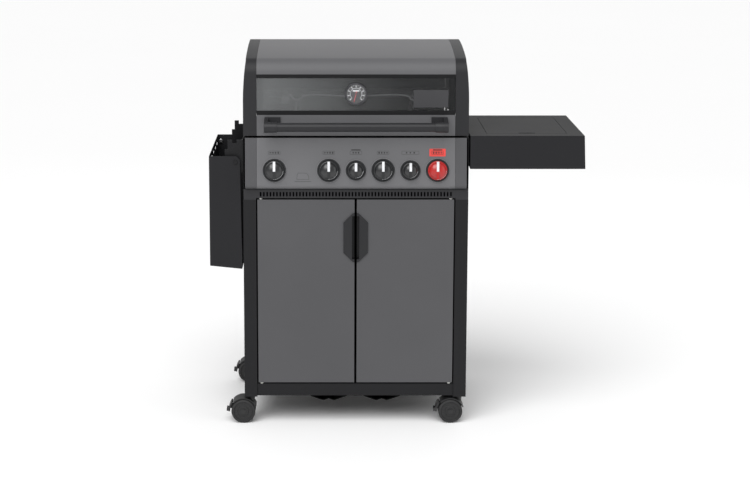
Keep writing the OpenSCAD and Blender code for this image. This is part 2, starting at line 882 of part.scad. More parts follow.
module folding_shelf() {
    hook_pitch = 85;
    stop = [shelf_px - 70, shelf_pz - 3];
    color(dark)
        difference() {
            union() {
                difference() {
                    along_y(table_y0, table_y1) shelf_outline();
                    along_y(table_y0 + thin, table_y1 - thin) {
                        offset(delta = -thin) shelf_outline();
                        translate([shelf_px - 80 + thin, shelf_z0 + 101]) square([102, 300]);
                        translate([shelf_px, shelf_z0 + 6]) square([30, 350]);
                    }
                }
                rod_y([shelf_px, table_y0, shelf_pz], 9, 10);
                rod_y([shelf_px, table_y1 - 10, shelf_pz], 9, 10);
            }
            rod_y([shelf_px, table_y0 - 1, shelf_pz], 5 + run_gap, 12);
            rod_y([shelf_px, table_y1 - 11, shelf_pz], 5 + run_gap, 12);
            for (i = [0:4])
                translate([shelf_px - 90, table_y0 + 46 + i * hook_pitch, 814])
                    rotate([90, 0, 90]) linear_extrude(20) slot_2d(45, 10);
        }
    color(bright) rod_y([stop[0], table_y1, stop[1]], stop_r, 4);
}

// ---------------------------------------------------------------- grease tray

module grease_tray() {
    z = box_z - 40.7;
    color(bright) {
        difference() {
            block([-288, box_y0 + 10, z], [288, cab_y - 12, z + 22]);
            block([-286.5, box_y0 + 11.5, z + thin], [286.5, cab_y - 13.5, z + 23]);
        }
        block([-120, cab_y - 12, z + 17], [120, cab_y + 12, z + 19]);
        block([-120, cab_y + 10, z + 5], [120, cab_y + 12, z + 17]);
    }
}

// ---------------------------------------------------------------- casters

module caster_at(sx, sy) {
    translate([sx * caster_x, sy * caster_y, 0]) children();
}

// The axle's frame: origin on the axle, which lies along Y.
module axle_frame() {
    translate([-trail, 0, wheel_z]) children();
}

// Sector of a ring about the axle, between two radii and two angles in X and Z.
module ring_sector(r0, r1, a0, a1, n) {
    polygon(concat(arc([0, 0], r0, a0, a1, n), arc([0, 0], r1, a1, a0, n)));
}

module caster_housing() {
    fender_r = 42.5;
    color(black)
        difference() {
            union() {
                axle_frame() {
                    along_y(-27, 27) ring_sector(fender_r - 3, fender_r, 20, 138, 24);
                    along_y(-8, 8) ring_sector(20, fender_r - 1, 20, 138, 24);
                    rod_y([0, -8, 0], 22, 16);
                    rod_y([0, -28, 0], 4, 56);
                    for (y = [-29.5, 26.5]) rod_y([0, y, 0], 8, 3);
                }
                rod_z([0, 0, 30], 9.5, base_z - 4 - 30);
            }
            rod_z([0, 0, 45], 5.5 + run_gap, 60);
        }
}

module caster_wheels() {
    color(black)
        axle_frame()
            for (y = [-26, 11])
                difference() {
                    rod_y([0, y, 0], wheel_r, 15);
                    rod_y([0, y - 1, 0], 4 + run_gap, 17);
                }
}

// Foot lever behind the fender, hung on the axle by two thin arms.
module caster_brake() {
    color(black)
        axle_frame()
            difference() {
                union() {
                    along_y(-20, 20) ring_sector(41.5, 46, 142, 182, 12);
                    along_y(-14, 14) ring_sector(45, 52, 172, 182, 4);
                    for (y = [-10.4, 8.4])
                        translate([0, y, 0]) rotate([0, -162, 0]) union() {
                            block([0, 0, -6], [43, 2, 6]);
                            rod_y([0, 0, 0], 8, 2);
                        }
                }
                rod_y([0, -30, 0], 4 + run_gap, 60);
            }
}

// ---------------------------------------------------------------- nodes

base_pan();
front_rail();
side_panel_left();
side_panel_right();
rear_panel();
base_rails();
pivot_pins();
screws();
firebox();
control_panel();
panel_ends();
vent_strip();
knob_bezels();
gas_manifold();
main_burners();
turbo_burner();
flame_tamers();
cooking_grates();
back_burner();
warming_rack();
side_table();
side_burner();
table_brackets();
hood_shell();
hood_end_left();
hood_end_right();
hood_frame();
hood_glass();
hood_handle();
thermometer();
thermometer_needle();
door_left();
door_right();
folding_shelf();
burner_lid();
grease_tray();
caster_at(-1, -1) caster_housing();  // caster_housing_fl
caster_at(1, -1) caster_housing();  // caster_housing_fr
caster_at(-1, 1) caster_housing();  // caster_housing_rl
caster_at(1, 1) caster_housing();  // caster_housing_rr
caster_at(-1, -1) caster_wheels();  // caster_wheels_fl
caster_at(1, -1) caster_wheels();  // caster_wheels_fr
caster_at(-1, 1) caster_wheels();  // caster_wheels_rl
caster_at(1, 1) caster_wheels();  // caster_wheels_rr
caster_at(-1, -1) caster_brake();  // caster_brake_fl
caster_at(1, -1) caster_brake();  // caster_brake_fr
caster_at(-1, 1) caster_brake();  // caster_brake_rl
caster_at(1, 1) caster_brake();  // caster_brake_rr
for (i = [0:5]) {
    knob(i);
    valve_stem(i);
}
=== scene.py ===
# %% [markdown]
# # A gas barbecue grill
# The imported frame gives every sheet, pin and wheel in metres, with +Z up and the cook standing on
# the -Y side. This lesson adds what the frame can't hold: finishes, folded edges, printed marks,
# knob trims, the dial, screw heads and tyre treads. Each piece rides on the body that carries it,
# so the grill can still open, fold and roll.

# %% Load the frame
import json
import math
import bmesh
import bpy
from mathutils import Matrix, Vector


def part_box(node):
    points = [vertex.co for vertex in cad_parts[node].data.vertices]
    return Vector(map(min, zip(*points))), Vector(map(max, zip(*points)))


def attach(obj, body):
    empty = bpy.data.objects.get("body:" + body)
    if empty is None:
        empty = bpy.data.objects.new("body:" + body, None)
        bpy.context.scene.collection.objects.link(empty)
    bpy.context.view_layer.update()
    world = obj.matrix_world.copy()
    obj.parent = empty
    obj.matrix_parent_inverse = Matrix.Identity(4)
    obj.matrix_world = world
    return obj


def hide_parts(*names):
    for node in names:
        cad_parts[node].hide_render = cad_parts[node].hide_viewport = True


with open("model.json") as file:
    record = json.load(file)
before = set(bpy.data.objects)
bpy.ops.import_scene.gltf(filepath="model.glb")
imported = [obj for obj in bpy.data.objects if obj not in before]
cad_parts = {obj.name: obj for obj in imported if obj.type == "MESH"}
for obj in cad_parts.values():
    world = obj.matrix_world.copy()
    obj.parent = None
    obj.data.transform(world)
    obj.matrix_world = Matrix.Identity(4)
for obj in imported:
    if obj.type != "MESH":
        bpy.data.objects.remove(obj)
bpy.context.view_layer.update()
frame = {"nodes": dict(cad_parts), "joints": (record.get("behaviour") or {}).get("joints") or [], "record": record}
NODES = frame["nodes"]
BODY_OF = {n: b for b, ns in frame["record"]["behaviour"]["bodies"].items() for n in ns}

# %% [markdown]
# ## Camera, floor and light
# The grill is seen straight from the front from over five metres away, with the eye
# well above the hood. A long lens keeps the verticals nearly parallel. A small shift places the
# grill in the frame, and the camera tips down for the rest instead of shifting further, so that
# other views stay framed.

# %% Camera
EYE = Vector((-0.080, -5.62, 1.717))
LENS = 86.9
PITCH = 10.1
SHIFT_X = 0.061
SHIFT_Y = -0.092

cam = bpy.data.objects.new("camera", bpy.data.cameras.new("camera"))
bpy.context.scene.collection.objects.link(cam)
cam.location = EYE
cam.rotation_euler = (math.radians(90 - PITCH), 0, 0)
cam.data.lens = LENS
cam.data.sensor_width = 36
cam.data.shift_x = SHIFT_X
cam.data.shift_y = SHIFT_Y
cam.data.clip_end = 60
bpy.context.scene.camera = cam
print("camera at", tuple(EYE), "lens", LENS)

# %% [markdown]
# The floor is one large pale plane, so wide that the camera never sees past it. A broad sun gives
# the floor and the grill the same even, soft light from the front. Three area lights add the gentle
# highlights on the bar and the knobs, and a grey world fills the shadows without whitening the
# sheets that face upwards.

# %% Floor and lights
def link(obj):
    """Puts a new object in the scene and returns it."""
    bpy.context.scene.collection.objects.link(obj)
    return obj


def aimed(obj, place, aim):
    """Puts a lamp at one place and points it at another."""
    obj.location = place
    obj.rotation_euler = (Vector(aim) - Vector(place)).to_track_quat("-Z", "Y").to_euler()
    return obj


def softbox(name, place, aim, size, watts):
    """A rectangular area light."""
    lamp = bpy.data.lights.new(name, "AREA")
    lamp.shape = "RECTANGLE"
    lamp.size, lamp.size_y = size
    lamp.energy = watts
    return aimed(link(bpy.data.objects.new(name, lamp)), place, aim)


softbox("key_light", (-1.6, -3.4, 2.6), (0, 0, 0.7), (2.4, 2.0), 26)
softbox("fill_right", (3.4, -2.4, 1.8), (0, 0, 0.6), (2.0, 2.2), 14)
softbox("rear_light", (0.6, 3.2, 2.6), (0, 0, 0.8), (3.0, 1.6), 9)
sun = bpy.data.lights.new("sky_panel", "SUN")
sun.energy = 2.3
sun.angle = math.radians(55)
aimed(link(bpy.data.objects.new("sky_panel", sun)), (-1.1, -3.6, 4.4), (0, 0, 0))
world = bpy.data.worlds.new("studio")
world.use_nodes = True
world.node_tree.nodes["Background"].inputs["Color"].default_value = (1, 1, 1, 1)
world.node_tree.nodes["Background"].inputs["Strength"].default_value = 0.50
bpy.context.scene.world = world
bpy.context.scene.view_settings.view_transform = "Standard"
FLOOR_HALF = 40
floor_mesh = bpy.data.meshes.new("floor")
floor_mesh.from_pydata([(x, y, 0) for x, y in ((-FLOOR_HALF, -FLOOR_HALF), (FLOOR_HALF, -FLOOR_HALF),
                                               (FLOOR_HALF, FLOOR_HALF), (-FLOOR_HALF, FLOOR_HALF))],
                       [], [(0, 1, 2, 3)])
floor = link(bpy.data.objects.new("floor", floor_mesh))
print("lamps", len(bpy.data.lights), "floor", 2 * FLOOR_HALF, "m wide")

# %% [markdown]
# ## A small language for finishes
# A finish is a tree of shader nodes. Writing `1 - mask * 0.3` is easier to read than wiring Math
# nodes by hand, so one class wraps a socket and turns each operator into its Math node. Any other
# node comes from `Finish.node`, which takes its type, its settings and its inputs.

# %% Socket arithmetic
class Val:
    """A number that varies over a surface: a socket with arithmetic."""

    def __init__(self, tree, socket):
        self.tree, self.socket = tree, socket

    def math(self, operation, a, b=None):
        n = self.tree.nodes.new("ShaderNodeMath")
        n.operation = operation
        for slot, value in zip(n.inputs, (a, b)):
            if isinstance(value, Val):
                self.tree.links.new(value.socket, slot)
            elif value is not None:
                slot.default_value = value
        return Val(self.tree, n.outputs[0])

    def __add__(self, other): return self.math("ADD", self, other)
    def __radd__(self, other): return self.math("ADD", other, self)
    def __sub__(self, other): return self.math("SUBTRACT", self, other)
    def __rsub__(self, other): return self.math("SUBTRACT", other, self)
    def __mul__(self, other): return self.math("MULTIPLY", self, other)
    def __rmul__(self, other): return self.math("MULTIPLY", other, self)

    def ramp(self, low, high):
        """0 below low, 1 above high and a smooth step between them."""
        n = self.tree.nodes.new("ShaderNodeMapRange")
        n.interpolation_type = "SMOOTHSTEP"
        n.inputs["From Min"].default_value = low
        n.inputs["From Max"].default_value = high
        self.tree.links.new(self.socket, n.inputs["Value"])
        return Val(self.tree, n.outputs["Result"])


class Finish:
    """A material whose nodes are made by calls."""

    def __init__(self, name):
        self.mat = bpy.data.materials.new(name)
        self.mat.use_nodes = True
        self.tree = self.mat.node_tree
        self.bsdf = self.tree.nodes["Principled BSDF"]
        self.coords = self.node("ShaderNodeTexCoord").outputs["Object"]

    def node(self, kind, settings=None, **inputs):
        """One node: settings first, then values or links for its sockets (spaces written as _)."""
        n = self.tree.nodes.new(kind)
        for key, value in (settings or {}).items():
            setattr(n, key, value)
        for key, value in inputs.items():
            slot = n.inputs[key.replace("_", " ")]
            if isinstance(value, Val):
                self.tree.links.new(value.socket, slot)
            elif isinstance(value, bpy.types.NodeSocket):
                self.tree.links.new(value, slot)
            else:
                slot.default_value = value
        return n

    def stretched(self, sx, sy, sz):
        """Object coordinates scaled apart along each axis."""
        return self.node("ShaderNodeMapping", Vector=self.coords, Scale=(sx, sy, sz)).outputs["Vector"]

    def noise(self, scale, detail=3.0, coords=None):
        n = self.node("ShaderNodeTexNoise", Vector=coords or self.coords, Scale=scale, Detail=detail)
        return Val(self.tree, n.outputs["Fac"])

    def axis(self, letter):
        """One coordinate, in metres."""
        n = self.node("ShaderNodeSeparateXYZ", Vector=self.coords)
        return Val(self.tree, n.outputs[letter])

    def blend(self, mask, first, second):
        """A colour between two others."""
        n = self.node("ShaderNodeMix", {"data_type": "RGBA"})
        n.inputs["Factor"].default_value = 0.5
        self.tree.links.new(mask.socket, n.inputs["Factor"])
        for slot, value in zip((n.inputs[6], n.inputs[7]), (first, second)):
            if isinstance(value, tuple):
                slot.default_value = (*value, 1)
            else:
                self.tree.links.new(value, slot)
        return n.outputs[2]

    def bump(self, height, distance, strength=1.0):
        n = self.node("ShaderNodeBump", Height=height, Distance=distance, Strength=strength)
        self.tree.links.new(n.outputs["Normal"], self.bsdf.inputs["Normal"])

    def put(self, **values):
        """Sets or links the shader's own sockets."""
        for key, value in values.items():
            slot = self.bsdf.inputs[key.replace("_", " ")]
            if isinstance(value, Val):
                self.tree.links.new(value.socket, slot)
            elif isinstance(value, bpy.types.NodeSocket):
                self.tree.links.new(value, slot)
            else:
                slot.default_value = (*value, 1) if isinstance(value, tuple) else value
        return self.mat


def srgb(*levels):
    """A linear colour from levels of 0 to 255, as a paint chart gives them."""
    return tuple((c / 255 / 12.92) if c <= 10 else ((c / 255 + 0.055) / 1.055) ** 2.4 for c in levels)


# %% [markdown]
# ## Powder coat
# Most of the grill is thin steel with a satin powder coat. Up close the coat is a fine orange
# peel, and over a whole sheet its shade and shine drift a little where hands and cloths have been.
# Two noises do it: a fine one for the peel and a broad one for the drift.

# %% Powder coat
def powder_coat(name, level, rough=0.46, peel=0.00003, gloss=0.22):
    """A satin coat of a grey level from 0 to 255."""
    f = Finish(name)
    broad = f.noise(3.0, 3.0)
    fine = f.noise(1400.0, 2.0)
    specks = f.noise(5200.0, 1.0).ramp(0.62, 0.75)
    base = srgb(level, level, level + 2)
    shade = f.blend(broad.ramp(0.25, 0.75), tuple(c * 0.96 for c in base), tuple(c * 1.05 for c in base))
    shade = f.blend(specks * 0.2, shade, tuple(c * 1.6 for c in base))
    f.bump(fine + f.noise(420.0, 2.0) * 0.7, peel)
    f.bsdf.inputs["Specular IOR Level"].default_value = gloss
    return f.put(Base_Color=shade, Roughness=broad * 0.10 + fine * 0.10 + (rough - 0.10), Metallic=0.0)


HOOD_GREY = powder_coat("hood_grey", 88, 0.44)
PANEL_GREY = powder_coat("panel_grey", 99)
DOOR_GREY = powder_coat("door_grey", 76, 0.50)
# Grey of the panel's end pieces; also painted shade round the embossed hood on the panel.
END_GREY_AND_EMBOSS_SHADE = powder_coat("panel_end_grey_and_emboss_shade", 76)
CAST_GREY = powder_coat("end_cap_dark", 36, 0.48, 0.00006)
FRAME_DARK = powder_coat("frame_dark", 22, 0.50)
TABLE_DARK = powder_coat("table_dark", 35, 0.50, gloss=0.12)
# A darker copy of the table's coat for the faces that look up: painted shade on the table top and the lid.
TABLE_TOP_SHADED = powder_coat("table_top_painted_shade", 24, 0.50, gloss=0.12)
VENT_SHADOW = powder_coat("vent_shadow", 5, 0.8, gloss=0.03)
SLOT_GREY = powder_coat("vent_grey", 42, 0.50)
# Black coat for the rails, firebox and hood frame; also painted shade on the floor of the door grips' finger slot.
BLACK_COAT_AND_SLOT_SHADE = powder_coat("black_coat_and_slot_shade", 12, 0.42)
GRIP_GREY = powder_coat("grip_grey", 36, 0.52, 0.00008)
# A light grey that paints the highlight on the outer edge of each knob bezel.
RIM_PAINTED_HIGHLIGHT = powder_coat("bezel_rim_painted_highlight", 132, 0.5)
BAR_GREY = powder_coat("handle_grey", 40, 0.36)
PLATE_GREY = powder_coat("label_plate", 58, 0.5)


def plain_floor(name, level):
    """A smooth pale floor with a barely visible drift of tone."""
    f = Finish(name)
    base = srgb(level, level, level)
    drift = f.noise(0.4, 2.0)
    return f.put(Base_Color=f.blend(drift, tuple(c * 0.985 for c in base), base), Roughness=0.8)


PALE_FLOOR = plain_floor("pale_floor", 250)
floor_mesh.materials.append(PALE_FLOOR)
print("powder coats made")

# %% [markdown]
# ## Bare metals, enamel, plastic, rubber and glass
# Drawn steel has fine lines along one direction, dark chrome is nearly a mirror with faint smears,
# the cast grates carry a coarse skin, and moulded plastic a soft grain. The pane is tinted glass
# with a painted reflection: a pale tone and a higher alpha on the left that fade towards the right, so the rack
# behind it stays visible.

# %% Metals
def drawn_steel(name, level, along="X", rough=0.30):
    f = Finish(name)
    squeeze = {"X": (12, 900, 900), "Y": (900, 12, 900), "Z": (900, 900, 12)}[along]
    lines = f.noise(1.0, 3.0, f.stretched(*squeeze))
    stain = f.noise(18.0, 4.0).ramp(0.45, 0.75)
    base = srgb(level, level, level + 1)
    shade = f.blend(stain * 0.5, base, tuple(c * 0.62 for c in base))
    f.bump(lines, 0.00004)
    return f.put(Base_Color=shade, Metallic=1.0, Roughness=lines * 0.22 + stain * 0.1 + (rough - 0.12))


def chrome(name, level=205, rough=0.09):
    f = Finish(name)
    smear = f.noise(60.0, 3.0)
    base = srgb(level, level, level + 3)
    f.bump(f.noise(800.0, 1.0), 0.000008)
    return f.put(Base_Color=f.blend(smear, base, tuple(c * 0.85 for c in base)),
                 Metallic=1.0, Roughness=smear * 0.10 + rough)


def cast_skin(name, level):
    f = Finish(name)
    skin = f.noise(260.0, 5.0)
    worn = f.noise(30.0, 4.0).ramp(0.5, 0.8)
    base = srgb(level, level, level)
    f.bump(skin, 0.00035)
    return f.put(Base_Color=f.blend(worn, base, tuple(c * 1.9 for c in base)), Metallic=0.2,
                 Roughness=skin * 0.3 + 0.42)


STEEL_X = drawn_steel("drawn_steel_x", 170)
STEEL_Y = drawn_steel("drawn_steel_y", 160, "Y", 0.36)
STEEL_Z = drawn_steel("drawn_steel_z", 175, "Z")
DARK_CHROME = chrome("dial_ring_chrome", 84, 0.12)
CAST_IRON = cast_skin("cast_iron_skin", 26)


# %% Plastics and rubber
def moulded(name, rgb, rough, grain=0.00002, coat=0.0):
    f = Finish(name)
    drift = f.noise(40.0, 3.0)
    fine = f.noise(2200.0, 2.0)
    f.bump(fine, grain)
    f.bsdf.inputs["Coat Weight"].default_value = coat
    f.bsdf.inputs["Coat Roughness"].default_value = 0.06
    return f.put(Base_Color=f.blend(drift, tuple(c * 0.8 for c in rgb), tuple(c * 1.2 for c in rgb)),
                 Roughness=drift * 0.12 + fine * 0.06 + (rough - 0.09))


KNOB_BLACK = moulded("knob_gloss_black", srgb(22, 23, 25), 0.32, 0.000004, 0.4)
KNOB_RED = moulded("knob_gloss_red", srgb(168, 18, 16), 0.30, 0.000004, 0.4)
SOFT_BLACK = moulded("moulded_black", srgb(26, 26, 27), 0.5)
BEZEL_BLACK = moulded("bezel_black", srgb(38, 39, 41), 0.34)
TYRE = moulded("tyre_rubber", srgb(24, 24, 25), 0.62, 0.00008)
POINTER = moulded("pointer_silver", srgb(216, 217, 220), 0.30, 0.000004, 0.4)
WHITE_PRINT = moulded("white_print", srgb(215, 216, 218), 0.5)
# Dark ink for the marks; also painted shade in the burners' ports and holes.
DARK_PRINT_AND_HOLE_SHADE = moulded("dark_print_and_hole_shade", srgb(24, 24, 26), 0.5)
RED_PRINT = moulded("red_print", srgb(214, 62, 56), 0.5)
NEEDLE_RED = moulded("needle_red", srgb(190, 50, 60), 0.35)
DIAL_BLACK = moulded("dial_black", srgb(22, 22, 24), 0.4)
BUSH_WHITE = moulded("bush_nylon", srgb(205, 205, 200), 0.45)


# %% Tinted glass
def window_pane(name, reflection_level, tint_level):
    """Tinted glass with a painted reflection: a pale tone that fades out from the left to the right."""
    f = Finish(name)
    # Painted reflection: the glass is paler and less clear on the left, fading towards the right and the top.
    painted_reflection = 1 - (f.axis("X") + f.axis("Z") * 0.35 + f.noise(5.0, 2.0) * 0.05).ramp(0.06, 0.60)
    smear = f.noise(14.0, 4.0).ramp(0.35, 0.8)
    f.mat.blend_method = "BLEND"
    tint = f.blend(painted_reflection, srgb(tint_level, tint_level + 2, tint_level + 4),
                   srgb(reflection_level, reflection_level + 2, reflection_level + 3))
    f.put(Base_Color=tint, Roughness=smear * 0.06 + 0.04)
    f.put(Alpha=painted_reflection * 0.24 + smear * 0.04 + 0.34)
    f.bsdf.inputs["Coat Weight"].default_value = 0.4
    f.bsdf.inputs["Coat Roughness"].default_value = 0.03
    return f.mat


def clear_lens(name):
    """A nearly clear cover with a little dust on it."""
    f = Finish(name)
    dust = f.noise(90.0, 4.0).ramp(0.5, 0.85)
    f.mat.blend_method = "BLEND"
    f.put(Base_Color=srgb(210, 212, 214), Roughness=dust * 0.1 + 0.03, Alpha=dust * 0.05 + 0.05)
    return f.mat


WINDOW = window_pane("window_glass_tint", 104, 24)
LENS_CLEAR = clear_lens("dial_lens_clear")
print("finishes", len(bpy.data.materials))

# %% [markdown]
# ## Folding the edges
# A press leaves a small radius on every fold, and that radius is what catches the light. The frame's
# sheets have sharp edges, so each visible one gets a copy: its loose triangles are merged, flat
# neighbours are joined, and a Bevel modifier rounds what is sharper than a set angle. The copy
# stands for its node and rides on the same body.

# %% Edge folding
def clean_copy(node):
    """A merged copy of a node's mesh with its flat faces joined."""
    bm = bmesh.new()
    bm.from_mesh(NODES[node].data)
    bmesh.ops.remove_doubles(bm, verts=bm.verts, dist=1e-6)
    bmesh.ops.dissolve_limit(bm, angle_limit=math.radians(0.6), verts=bm.verts, edges=bm.edges,
                             delimit={"NORMAL"})
    mesh = bpy.data.meshes.new(node + "_folded")
    bm.to_mesh(mesh)
    bm.free()
    return mesh


def smooth_by_angle(mesh, degrees):
    """Smooth faces, with edges sharper than the angle kept crisp."""
    mesh.shade_smooth()
    mesh.set_sharp_from_angle(angle=math.radians(degrees))


def folded(node, material, radius=0.0008, angle=32, segments=2, second=None, where=None):
    """Replaces a node by its copy with rounded edges. Faces picked by where get the second material."""
    obj = link(bpy.data.objects.new(node + "_folded", clean_copy(node)))
    mesh = obj.data
    mesh.materials.append(material)
    if second:
        mesh.materials.append(second)
        for face in mesh.polygons:
            face.material_index = 1 if where(face.center, face.normal) else 0
    smooth_by_angle(mesh, angle)
    if radius:
        bevel = obj.modifiers.new("fold", "BEVEL")
        bevel.width = radius
        bevel.segments = segments
        bevel.limit_method = "ANGLE"
        bevel.angle_limit = math.radians(angle)
        bevel.harden_normals = True
    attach(obj, BODY_OF[node])
    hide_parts(node)
    return obj


COATS = {
    "base_pan": FRAME_DARK, "front_rail": FRAME_DARK, "side_panel_left": FRAME_DARK,
    "side_panel_right": FRAME_DARK, "rear_panel": FRAME_DARK, "base_rails": BLACK_COAT_AND_SLOT_SHADE,
    "firebox": BLACK_COAT_AND_SLOT_SHADE, "control_panel": PANEL_GREY, "panel_ends": END_GREY_AND_EMBOSS_SHADE,
    "vent_strip": SLOT_GREY, "table_brackets": FRAME_DARK,
    "hood_shell": HOOD_GREY, "hood_end_left": CAST_GREY, "hood_end_right": CAST_GREY,
    "hood_frame": BLACK_COAT_AND_SLOT_SHADE, "burner_lid": TABLE_TOP_SHADED, "folding_shelf": TABLE_DARK,
}
for node, coat in COATS.items():
    folded(node, coat)
# The side table's upward faces get the darker copy: painted shade on its top.
folded("side_table", TABLE_DARK, 0.0012, 32, 2, TABLE_TOP_SHADED, lambda c, n: n.z > 0.9 and c.z > 0.88)
print("folded sheets", len(COATS) + 1)

# %% Materials straight onto the frame's own nodes
def paint(node, material):
    """Gives a node of the frame one finish."""
    mats = NODES[node].data.materials
    mats.clear()
    mats.append(material)


for node in NODES:
    if node.startswith(("caster_housing", "caster_brake")):
        folded(node, SOFT_BLACK, 0.0005)
    elif node.startswith("valve_stem"):
        paint(node, STEEL_Y)
PLAIN = {"gas_manifold": STEEL_X, "main_burners": STEEL_Y,
         "turbo_burner": STEEL_Y, "flame_tamers": STEEL_Y, "cooking_grates": CAST_IRON,
         "back_burner": STEEL_X, "warming_rack": STEEL_X, "side_burner": CAST_IRON,
         "grease_tray": STEEL_X, "hood_glass": WINDOW, "screws": STEEL_Z,
         "thermometer_needle": NEEDLE_RED}
for node, metal in PLAIN.items():
    paint(node, metal)
folded("hood_handle", BAR_GREY, 0.001, 30)
folded("pivot_pins", STEEL_Z, 0.0004, 30, 1, FRAME_DARK,
       lambda c, n: c.x < -0.34 and c.y < -0.2499)
folded("thermometer", DARK_CHROME, 0.0008, 30, 2, DIAL_BLACK,
       lambda c, n: n.y < -0.9 and math.hypot(c.x, c.z - 1.025) < 0.0285 and c.y > -0.2545)

# %% Doors with their grips
GRIP_HALF, GRIP_LOW, GRIP_HIGH = 0.0375, 0.509, 0.664
SLOT_HALF = 0.0115


def in_grip(c, n):
    """True for the faces of a door's moulded grip."""
    return abs(c.x) < GRIP_HALF and GRIP_LOW < c.z < GRIP_HIGH and c.y < -0.2301


def in_slot(c):
    """True inside the finger slot that the two grips leave between them."""
    return abs(c.x) < SLOT_HALF and GRIP_LOW + 0.008 < c.z < GRIP_HIGH - 0.008 and c.y > -0.2535


for side in ("left", "right"):
    door = folded("door_" + side, DOOR_GREY, 0.0009, 32, 2, GRIP_GREY, in_grip)
    # The grip faces inside the finger slot get the black coat as painted shade in the recess.
    door.data.materials.append(BLACK_COAT_AND_SLOT_SHADE)
    for face in door.data.polygons:
        if in_grip(face.center, face.normal) and in_slot(face.center):
            face.material_index = 2
print("doors folded")

# %% [markdown]
# ## Marks, ticks and ribs from one ring tree
# Dial ticks, the dots round a knob, burner ports and the ribs of a tyre are all the same idea: a
# small block repeated round a circle. Geometry Nodes place it once for each index, so a change of
# count or radius needs no new mesh. The tree ends in Realize Instances and Set Material, and the
# evaluated result is kept as a plain mesh.

# %% A ring of blocks
def socket(tree, name, kind, value):
    """Adds a named input to a node group."""
    item = tree.interface.new_socket(name, in_out="INPUT", socket_type=kind)
    item.default_value = value


def ring_tree(material):
    """Blocks round the Z axis: Count of them at Radius, from Start by Step degrees."""
    tree = bpy.data.node_groups.new("ring_of_blocks", "GeometryNodeTree")
    tree.interface.new_socket("Geometry", in_out="OUTPUT", socket_type="NodeSocketGeometry")
    socket(tree, "Count", "NodeSocketInt", 12)
    socket(tree, "Radius", "NodeSocketFloat", 0.02)
    socket(tree, "Start", "NodeSocketFloat", 0.0)
    socket(tree, "Step", "NodeSocketFloat", 30.0)
    socket(tree, "Size", "NodeSocketVector", (0.001, 0.001, 0.001))
    add = tree.nodes.new
    given, result = add("NodeGroupInput"), add("NodeGroupOutput")
    index = Val(tree, add("GeometryNodeInputIndex").outputs[0])
    turn = (index * Val(tree, given.outputs["Step"]) + Val(tree, given.outputs["Start"])) * (math.pi / 180)
    reach = Val(tree, given.outputs["Radius"])
    place, spin = add("ShaderNodeCombineXYZ"), add("ShaderNodeCombineXYZ")
    points, block = add("GeometryNodePoints"), add("GeometryNodeMeshCube")
    copies, real = add("GeometryNodeInstanceOnPoints"), add("GeometryNodeRealizeInstances")
    finish = add("GeometryNodeSetMaterial")
    finish.inputs["Material"].default_value = material
    wires = [(turn.math("COSINE", turn) * reach, place.inputs["X"]),
             (turn.math("SINE", turn) * reach, place.inputs["Y"]), (turn, spin.inputs["Z"])]
    for value, slot in wires:
        tree.links.new(value.socket, slot)
    tree.links.new(given.outputs["Count"], points.inputs["Count"])
    tree.links.new(place.outputs[0], points.inputs["Position"])
    tree.links.new(given.outputs["Size"], block.inputs["Size"])
    tree.links.new(points.outputs[0], copies.inputs["Points"])
    tree.links.new(block.outputs["Mesh"], copies.inputs["Instance"])
    tree.links.new(spin.outputs[0], copies.inputs["Rotation"])
    tree.links.new(copies.outputs[0], real.inputs[0])
    tree.links.new(real.outputs[0], finish.inputs["Geometry"])
    tree.links.new(finish.outputs[0], result.inputs[0])
    return tree


def grow(name, tree, place, source=None, **values):
    """Runs a tree on an empty or given mesh and keeps the result as a plain mesh, put at place."""
    seed = link(bpy.data.objects.new("seed", source or bpy.data.meshes.new("seed")))
    nodes = seed.modifiers.new("grow", "NODES")
    nodes.node_group = tree
    for item in tree.interface.items_tree:
        if item.in_out == "INPUT" and item.name in values:
            nodes[item.identifier] = values[item.name]
    bpy.context.view_layer.update()
    grown = seed.evaluated_get(bpy.context.evaluated_depsgraph_get())
    mesh = bpy.data.meshes.new_from_object(grown)
    seed.modifiers.remove(nodes)
    bpy.data.objects.remove(seed)
    mesh.transform(place)
    mesh.name = name
    return link(bpy.data.objects.new(name, mesh))


def riding(obj, body):
    """Puts a finished piece on its body."""
    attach(obj, body)
    return obj


WHITE_RING = ring_tree(WHITE_PRINT)
RUBBER_RING = ring_tree(TYRE)
BLACK_RING = ring_tree(SOFT_BLACK)
DARK_RING = ring_tree(DARK_PRINT_AND_HOLE_SHADE)
print("ring trees made")

# %% [markdown]
# ## Turned and drawn pieces
# Two small makers cover most trims. `lathe` turns an outline of radius and height about an axis,
# and `slab` gives a flat outline some thickness. Both return a mesh whose place is in its points.

# %% Lathe and slab
def mesh_piece(name, bm, material, degrees=35):
    """A mesh object from a bmesh, with its normals put outwards."""
    bmesh.ops.remove_doubles(bm, verts=bm.verts, dist=1e-7)
    bmesh.ops.recalc_face_normals(bm, faces=bm.faces)
    mesh = bpy.data.meshes.new(name)
    bm.to_mesh(mesh)
    bm.free()
    mesh.materials.append(material)
    smooth_by_angle(mesh, degrees)
    return link(bpy.data.objects.new(name, mesh))


def lathe(name, outline, place, material, steps=64, degrees=35):
    """Turns (radius, height) points about Z, then places the result."""
    bm = bmesh.new()
    rings = []
    for radius, height in outline:
        if radius < 1e-6:
            rings.append([bm.verts.new((0, 0, height))] * steps)
            continue
        turns = [2 * math.pi * k / steps for k in range(steps)]
        rings.append([bm.verts.new((radius * math.cos(t), radius * math.sin(t), height)) for t in turns])
    for low, high in zip(rings, rings[1:]):
        for k in range(steps):
            corners = [low[k], low[(k + 1) % steps], high[(k + 1) % steps], high[k]]
            unique = list(dict.fromkeys(corners))
            if len(unique) > 2:
                bm.faces.new(unique)
    bm.transform(place)
    return mesh_piece(name, bm, material, degrees)


